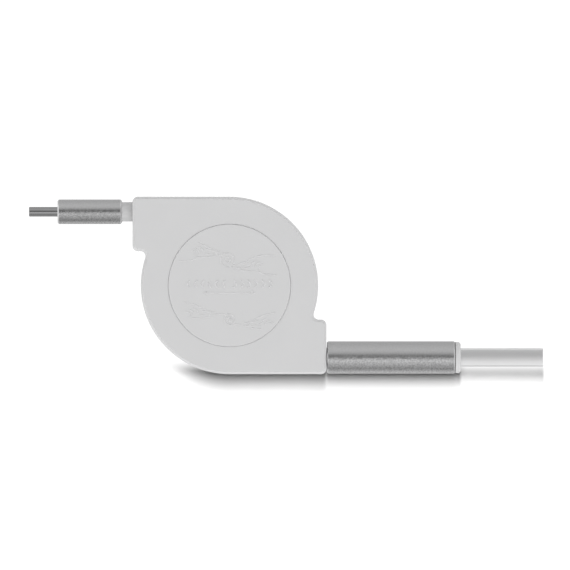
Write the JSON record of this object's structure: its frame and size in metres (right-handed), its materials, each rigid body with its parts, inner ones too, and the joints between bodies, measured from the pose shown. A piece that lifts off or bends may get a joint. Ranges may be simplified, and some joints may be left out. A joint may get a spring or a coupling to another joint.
{
  "type": "retractable charging cable",
  "caption": "Flat round case with a spring reel of flat cable, a USB-C plug drawn out of one tab and a USB-A plug out of the opposite tab, with a swinging lock pawl inside.",
  "frame": {"origin": "on the reel's axis, at the case's flat back", "axes": "+Z along the reel's axis out of the front face, +X towards the USB-A plug, +Y towards the edge that the USB-C plug leaves by"},
  "size_m": [0.1276, 0.044, 0.0161],
  "materials": {
    "case_plastic": "fine satin moulded white",
    "disc_plastic": "fine satin moulded white",
    "reel_plastic": "plain moulded, unpolished",
    "pawl_plastic": "plain moulded, self-lubricating",
    "plug_plastic": "smooth moulded white",
    "insulator_plastic": "moulded black",
    "board_laminate": "lacquered laminate",
    "cable_jacket": "soft matt white jacket",
    "sleeve_metal": "bead-blasted and anodised",
    "usb_a_steel": "nickel plated, smooth",
    "usb_c_steel": "nickel plated, smooth",
    "contact_metal": "gold plated",
    "spring_steel": "blued strip",
    "steel": "zinc plated"
  },
  "bodies": {
    "case": {"front_cover": "case_plastic", "back_cover": "case_plastic", "face_disc": "disc_plastic", "case_screw": "steel"},
    "reel": {"spool": "reel_plastic", "spool_flange": "reel_plastic", "mainspring": "spring_steel", "cable_winding": "cable_jacket"},
    "lock": {"lock_pawl": "pawl_plastic"},
    "usb_c": {"usb_c_shell": "usb_c_steel", "usb_c_insulator": "insulator_plastic", "usb_c_contacts": "contact_metal", "usb_c_board": "board_laminate", "usb_c_body": "plug_plastic", "usb_c_sleeve": "sleeve_metal", "usb_c_lead": "cable_jacket"},
    "usb_a": {"usb_a_shell": "usb_a_steel", "usb_a_insulator": "insulator_plastic", "usb_a_contacts": "contact_metal", "usb_a_body": "plug_plastic", "usb_a_sleeve": "sleeve_metal", "usb_a_lead": "cable_jacket"}
  },
  "joints": [
    {"name": "reel_spin", "type": "hinge", "parent": "case", "child": "reel", "pos_m": [0, 0, 0.008], "axis": [0, 0, 1], "range_deg": [0, 1440], "stiffness_Nm_per_rad": 0.0008, "springref_deg": -458.37, "deforming": ["mainspring"]},
    {"name": "usb_c_pull", "type": "slide", "parent": "case", "child": "usb_c", "axis": [-1, 0, 0], "range_m": [0, 0.34], "deforming": ["usb_c_lead"]},
    {"name": "usb_a_pull", "type": "slide", "parent": "case", "child": "usb_a", "axis": [1, 0, 0], "range_m": [0, 0.34], "deforming": ["usb_a_lead"]},
    {"name": "pawl_swing", "type": "hinge", "parent": "case", "child": "lock", "pos_m": [0.014, 0, 0.0129], "axis": [0, 0, 1], "range_deg": [-90, 0]}
  ],
  "couplings": [
    {"joint": "usb_c_pull", "follows": "reel_spin", "m_per_rad": 0.0133},
    {"joint": "usb_a_pull", "follows": "reel_spin", "m_per_rad": 0.0133}
  ]
}
